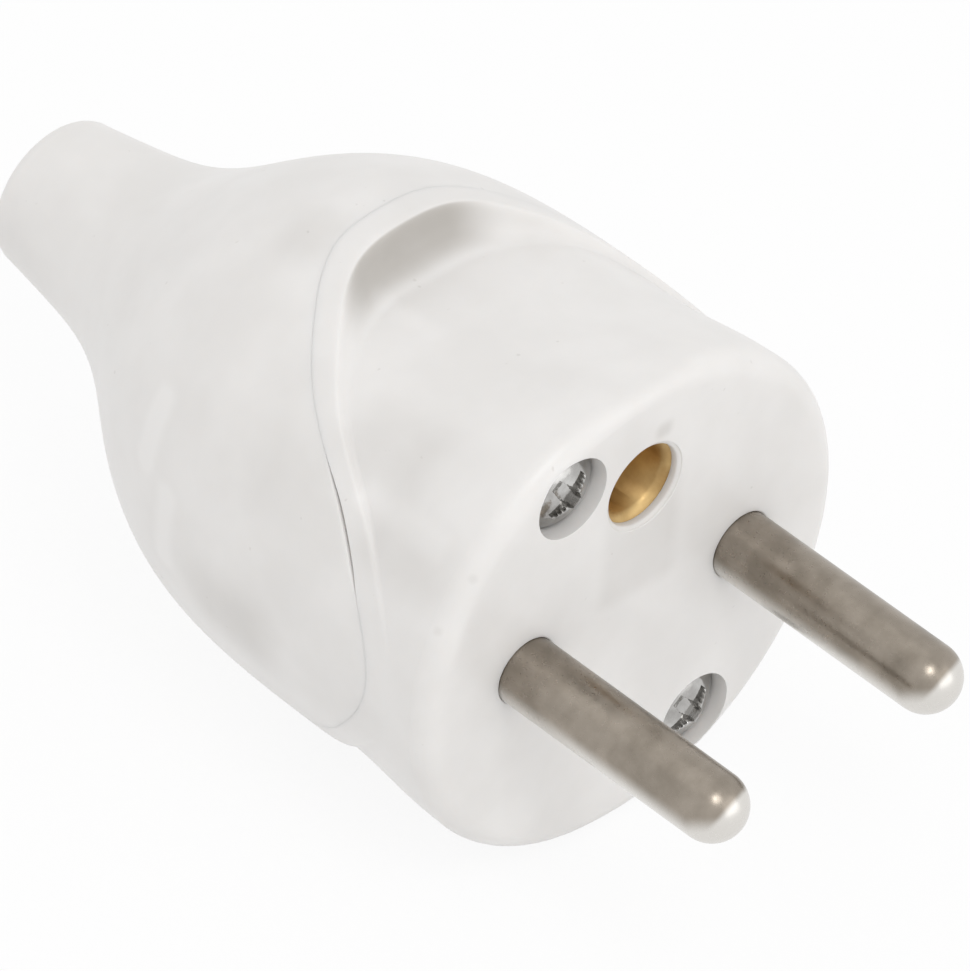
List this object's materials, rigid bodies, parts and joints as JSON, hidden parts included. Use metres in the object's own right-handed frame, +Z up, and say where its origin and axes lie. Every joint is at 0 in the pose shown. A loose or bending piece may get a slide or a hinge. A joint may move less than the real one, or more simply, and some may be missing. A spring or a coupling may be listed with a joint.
{
  "type": "illuminated electric plug",
  "caption": "Straight round mains plug with two solid pins, an earth contact hole, a milky body with finger recesses and a lamp inside.",
  "frame": {"origin": "centre of the engagement face, half-way between the two pins", "axes": "+X out of the face along the pins, +Y from the live pin to the neutral pin, +Z up to the earth contact"},
  "size_m": [0.0732, 0.0364, 0.036],
  "materials": {
    "milky_plastic": "translucent milky, fine satin",
    "nickel_plate": "satin nickel plate",
    "brass": "drawn, slightly dull",
    "spring_steel": "oiled",
    "zinc_plate": "bright zinc",
    "white_plastic": "moulded",
    "circuit_board": "resin board",
    "lamp_lens": "clear epoxy, diffused",
    "resistor_coat": "lacquered",
    "diode_case": "moulded",
    "brown_insulation": "extruded",
    "blue_insulation": "extruded"
  },
  "bodies": {
    "root": {"front_base": "milky_plastic", "rear_cover": "milky_plastic", "live_pin": "nickel_plate", "neutral_pin": "nickel_plate", "earth_sleeve": "brass", "earth_spring_ring": "spring_steel", "earth_strap": "brass", "earth_terminal_block": "brass", "live_terminal_screw": "zinc_plate", "neutral_terminal_screw": "zinc_plate", "earth_terminal_screw": "zinc_plate", "contact_carrier": "white_plastic", "carrier_screw": "zinc_plate", "closing_screw_upper": "zinc_plate", "closing_screw_lower": "zinc_plate", "cord_clamp_bar": "white_plastic", "cord_clamp_screw_left": "zinc_plate", "cord_clamp_screw_right": "zinc_plate", "lamp_board": "circuit_board", "indicator_led": "lamp_lens", "dropper_resistor": "resistor_coat", "rectifier_diode": "diode_case", "live_lamp_lead": "brown_insulation", "neutral_lamp_lead": "blue_insulation"}
  },
  "joints": []
}
